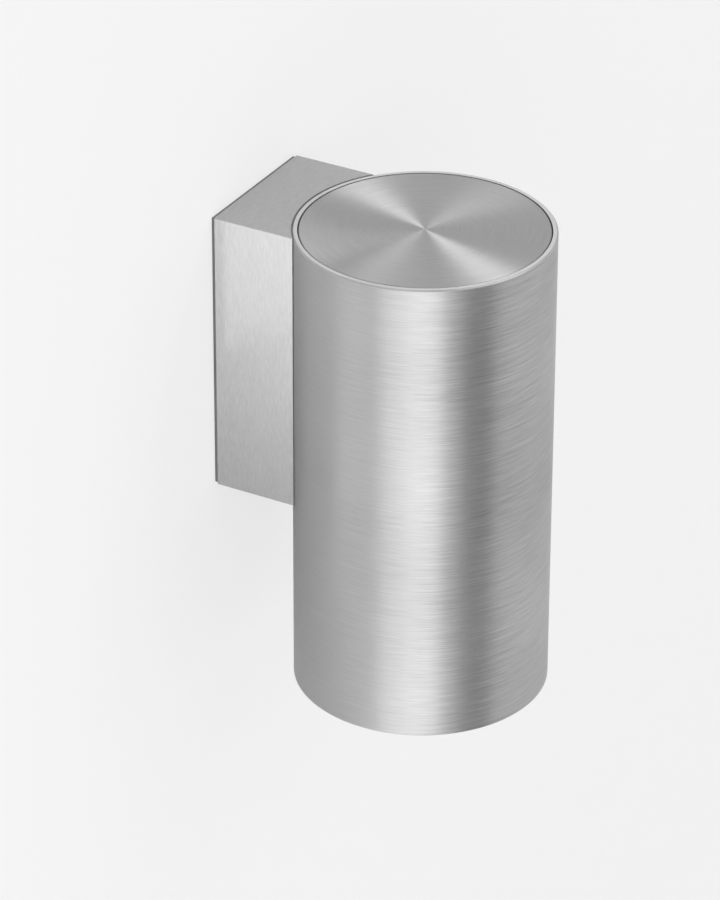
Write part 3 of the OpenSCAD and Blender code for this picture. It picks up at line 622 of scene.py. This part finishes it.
tube_wall = brushed("round_brushed", here, (70.0, 70.0, 5200.0), TUBE_DARK, TUBE_LIGHT, smooth=0.42,
                    rough=0.5, depth=0.000004, spread=0.8, turn=ACROSS, strength=brush_strength)
tube_wall.node_tree.nodes["Principled BSDF"].inputs["Specular Tint"].default_value = grey(TUBE_EDGE_TONE)
tube_rim = brushed("bright_rim", here, (60.0, 60.0, 1500.0), BRIGHT_DARK, BRIGHT_LIGHT, smooth=0.24,
                   rough=0.32, depth=0.000002, spread=0.4, turn=ACROSS)
brushed_tube = eased("tube", "brushed_tube", TUBE_EASE)
chamfer_rims(brushed_tube, "tube")
second_when_level(brushed_tube)
fit(brushed_tube, "tube", "lamp", "brushed_aluminium", tube_wall, tube_rim)
tube_alone.objects.link(brushed_tube)

# Lid
# Disc turned on its face in fine circles, flush with the tube's rim, with an open groove round it. Three
# screws hold it from below.
LID_DARK = 0.34
LID_LIGHT = 0.42
LID_EASE = 0.0001


def round_axis_place(tree):
    """Place as seen from the tube's axis: the direction outwards, and the distance from the axis."""
    outwards = vector_maths(tree, "ADD", here(tree), (0.0, -TUBE_AXIS.y, 0.0))
    level = vector_maths(tree, "MULTIPLY", outwards, (1.0, 1.0, 0.0))
    direction = add(tree, "ShaderNodeSeparateXYZ", {0: vector_maths(tree, "NORMALIZE", level)}).outputs
    away = vector_maths(tree, "LENGTH", level)
    return add(tree, "ShaderNodeCombineXYZ", {0: direction[0], 1: direction[1], 2: away}).outputs[0]


lid_face = brushed("face_turned", round_axis_place, (3.0, 3.0, 1600.0), LID_DARK, LID_LIGHT, smooth=0.36,
                   rough=0.43, depth=0.000003, spread=0.95, turn=ACROSS)
turned_lid = eased("lid", "turned_lid", LID_EASE)
fit(turned_lid, "lid", "lamp", "turned_aluminium", lid_face)
lid_alone.objects.link(turned_lid)

# Seats, heat sink and retaining ring
# Plain aluminium: the rings bonded into the tube for lid and glass, the finned heat sink, and the threaded
# ring with three key notches that holds the glass.
PLAIN_DARK = (0.40, 0.40, 0.41, 1.0)
PLAIN_LIGHT = (0.56, 0.56, 0.57, 1.0)
RING_DARK = 0.42
RING_LIGHT = 0.52

plain_aluminium = speckled("plain_aluminium", PLAIN_DARK, PLAIN_LIGHT, smooth=0.3, rough=0.42, grain=1400.0,
                           depth=0.000006, fixed=METAL)
dress(plain_aluminium, "lid_seat", "heat_sink", "glass_seat")
ring_face = brushed("turned_ring", round_axis_place, (3.0, 3.0, 1400.0), RING_DARK, RING_LIGHT, smooth=0.3,
                    rough=0.4, depth=0.000003, spread=0.6, turn=ACROSS)
fit(eased("retaining_ring", "notched_ring", ease=0.00025), "retaining_ring", "ring", "plain_aluminium",
    ring_face)

# Chassis and driver
# Zinc plated strip with a shelf, bent and riveted, and on it the driver in a closed white case with a foot.
dress(zinc_plating, "chassis")
fit(eased("driver", "driver_case", ease=0.0006, steps=3), "driver", "lamp", "white_plastic", white_plastic)

# LED, its board and holder
# White board with a disc of yellow phosphor, clamped to the heat sink by a moulded ring.
BOARD_WHITE_DARK = (0.72, 0.72, 0.72, 1.0)
BOARD_WHITE_LIGHT = (0.80, 0.80, 0.80, 1.0)
PHOSPHOR_DARK = (0.70, 0.46, 0.05, 1.0)
PHOSPHOR_LIGHT = (0.86, 0.62, 0.10, 1.0)

board_white = speckled("board_white", BOARD_WHITE_DARK, BOARD_WHITE_LIGHT, smooth=0.25, rough=0.35,
                       grain=1500.0, depth=0.000004, fixed={"Coat Weight": 0.3, "Coat Roughness": 0.15})
phosphor = speckled("phosphor", PHOSPHOR_DARK, PHOSPHOR_LIGHT, smooth=0.3, rough=0.4, grain=4000.0,
                    depth=0.00001, fixed={"Coat Weight": 0.5, "Coat Roughness": 0.1})
dress(board_white, "led_board")
dress(phosphor, "led_emitter")
fit(eased("led_holder", "clamping_ring", ease=0.0005, steps=3), "led_holder", "lamp", "white_plastic",
    white_plastic)

# Reflector
# Spun from thin bright aluminium, from the LED's opening in a curve down to its rim, which rests on the glass
# seat.
NECK_RADIUS = 0.0095
MOUTH_RADIUS = 0.0352
NECK_LEVEL = -0.067
MOUTH_LEVEL = -0.098
REFLECTOR_WALL = 0.001
REFLECTOR_RIM = 0.0382
RIM_TURN_WALLS = 0.6
RIM_CLEAR_WALLS = 1.5
CURVE_POWER = 0.65
CURVE_STEPS = 40
ROUND_STEPS = 128
MIRROR_DARK = (0.72, 0.72, 0.73, 1.0)
MIRROR_LIGHT = (0.84, 0.84, 0.85, 1.0)


def spun(name, outline):
    """Closed outline of radius and level, turned round the tube's axis."""
    solid = bmesh.new()
    verts = [solid.verts.new((radius, TUBE_AXIS.y, level)) for radius, level in outline]
    edges = [solid.edges.new(ends) for ends in zip(verts, verts[1:] + verts[:1])]
    bmesh.ops.spin(solid, geom=verts + edges, cent=(0.0, TUBE_AXIS.y, 0.0), axis=(0.0, 0.0, 1.0),
                   angle=2.0 * math.pi, steps=ROUND_STEPS, use_merge=True)
    bmesh.ops.remove_doubles(solid, verts=solid.verts, dist=WELD)
    bmesh.ops.recalc_face_normals(solid, faces=solid.faces)
    for face in solid.faces:
        face.smooth = True
    shape = bpy.data.meshes.new(name)
    solid.to_mesh(shape)
    solid.free()
    shape.set_sharp_from_angle(angle=EASED_ANGLE)
    piece = bpy.data.objects.new(name, shape)
    bpy.context.scene.collection.objects.link(piece)
    return piece


rim_top = MOUTH_LEVEL + REFLECTOR_WALL
inside = [(NECK_RADIUS + (MOUTH_RADIUS - NECK_RADIUS) * (step / CURVE_STEPS) ** CURVE_POWER,
           NECK_LEVEL + (MOUTH_LEVEL - NECK_LEVEL) * step / CURVE_STEPS) for step in range(CURVE_STEPS + 1)]
rim = [(REFLECTOR_RIM, MOUTH_LEVEL), (REFLECTOR_RIM, rim_top),
       (MOUTH_RADIUS + RIM_TURN_WALLS * REFLECTOR_WALL, rim_top)]
outside = [(radius + REFLECTOR_WALL, level) for radius, level in reversed(inside[:-1])
           if level > MOUTH_LEVEL + RIM_CLEAR_WALLS * REFLECTOR_WALL]
bright_aluminium = speckled("bright_aluminium", MIRROR_DARK, MIRROR_LIGHT, smooth=0.16, rough=0.24,
                            grain=500.0, depth=0.000008, fixed=METAL)
fit(spun("spun_reflector", inside + rim + outside), "reflector", "lamp", "reflector_aluminium",
    bright_aluminium)

# Cover glass
# Clear toughened glass with ground edges, pressed up against its gasket by the threaded ring.
GLASS_DARK = (0.93, 0.965, 0.955, 1.0)
GLASS_LIGHT = (0.96, 0.98, 0.97, 1.0)
GLASS_SMOOTH = 0.0
GLASS_ROUGH = 0.03


def clear_glass():
    """Glass with a faint green tone and traces of wiping."""
    finish, tree, shader = new_finish("clear_glass", {"Transmission Weight": 1.0, "IOR": 1.5})
    clouds = use_effect(tree, CLOUDS, {"Place": here(tree), "Size": 60.0})
    tree.links.new(span_of(tree, clouds["Share"], GLASS_SMOOTH, GLASS_ROUGH), shader.inputs["Roughness"])
    tree.links.new(blend_of(tree, clouds["Share"], GLASS_DARK, GLASS_LIGHT), shader.inputs["Base Color"])
    return finish


fit(eased("glass", "cover_glass", ease=0.0005), "glass", "glass_pack", "clear_glass", clear_glass())
